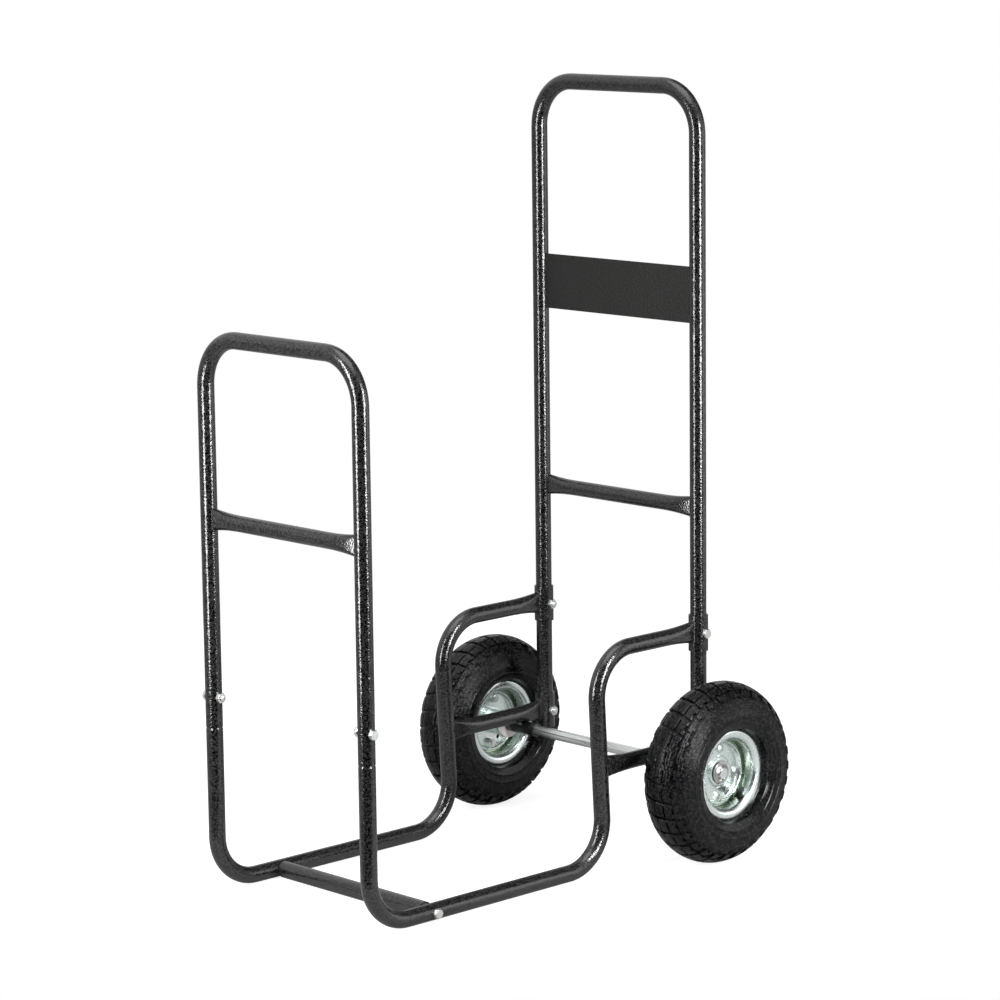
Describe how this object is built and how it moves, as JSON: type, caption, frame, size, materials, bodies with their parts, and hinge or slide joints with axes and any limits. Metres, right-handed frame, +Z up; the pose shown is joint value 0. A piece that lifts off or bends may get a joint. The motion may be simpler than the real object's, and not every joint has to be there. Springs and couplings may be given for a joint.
{
  "type": "fireside log cart",
  "caption": "Upright two-wheeled log cart: a bolted frame of bent steel tube with a tall handle frame, a lower front frame, open rails for the logs, and pneumatic tyres on a cross axle.",
  "frame": {"origin": "on the floor, at the centre of the overall box's footprint", "axes": "+Z up, -Y towards the open front, +Y towards the handle, +X towards the right side as seen from the front"},
  "size_m": [0.55, 0.7357, 1.102],
  "materials": {
    "powder_coat": "dark grey hammered powder coat",
    "plate_coat": "dark grey powder coat, satin",
    "zinc_fastener": "bright zinc plate",
    "zinc_axle": "bright zinc plate on drawn bar",
    "zinc_rim": "bright zinc plate on pressed sheet",
    "spring_steel": "zinc plated spring steel",
    "bearing_steel": "ground steel",
    "nylon": "natural nylon",
    "tyre_rubber": "moulded black rubber",
    "tube_rubber": "black rubber",
    "cap_plastic": "black plastic"
  },
  "bodies": {
    "frame": {"handle_frame": "powder_coat", "handle_crossbar": "powder_coat", "handle_plate": "plate_coat", "front_frame": "powder_coat", "front_crossbar": "powder_coat", "base_tube_left": "powder_coat", "base_tube_right": "powder_coat", "brace_left": "powder_coat", "brace_right": "powder_coat", "upper_sleeve_left": "powder_coat", "upper_sleeve_right": "powder_coat", "lower_sleeve_left": "powder_coat", "lower_sleeve_right": "powder_coat", "floor_cross_tube": "powder_coat", "cross_tube_inserts": "zinc_fastener", "cross_tube_bolts": "zinc_fastener", "front_joint_bolts": "zinc_fastener", "front_joint_nuts": "zinc_fastener", "upper_sleeve_bolts": "zinc_fastener", "upper_sleeve_nuts": "zinc_fastener", "lower_sleeve_bolts": "zinc_fastener", "lower_sleeve_nuts": "zinc_fastener", "axle": "zinc_axle", "axle_sleeve_left": "powder_coat", "axle_sleeve_right": "powder_coat", "axle_spacers": "nylon", "axle_end_washers": "zinc_fastener", "axle_retainers": "spring_steel"},
    "wheel_left": {"tyre_left": "tyre_rubber", "inner_tube_left": "tube_rubber", "outer_rim_left": "zinc_rim", "inner_rim_left": "zinc_rim", "rim_bolts_left": "zinc_fastener", "rim_nuts_left": "zinc_fastener", "hub_left": "zinc_rim", "bearings_left": "bearing_steel", "valve_stem_left": "tube_rubber", "valve_cap_left": "cap_plastic"},
    "wheel_right": {"tyre_right": "tyre_rubber", "inner_tube_right": "tube_rubber", "outer_rim_right": "zinc_rim", "inner_rim_right": "zinc_rim", "rim_bolts_right": "zinc_fastener", "rim_nuts_right": "zinc_fastener", "hub_right": "zinc_rim", "bearings_right": "bearing_steel", "valve_stem_right": "tube_rubber", "valve_cap_right": "cap_plastic"}
  },
  "joints": [
    {"name": "wheel_left_spin", "type": "hinge", "parent": "frame", "child": "wheel_left", "pos_m": [-0.2325, 0.23788, 0.13], "axis": [1, 0, 0], "continuous": true},
    {"name": "wheel_right_spin", "type": "hinge", "parent": "frame", "child": "wheel_right", "pos_m": [0.2325, 0.23788, 0.13], "axis": [1, 0, 0], "continuous": true}
  ]
}
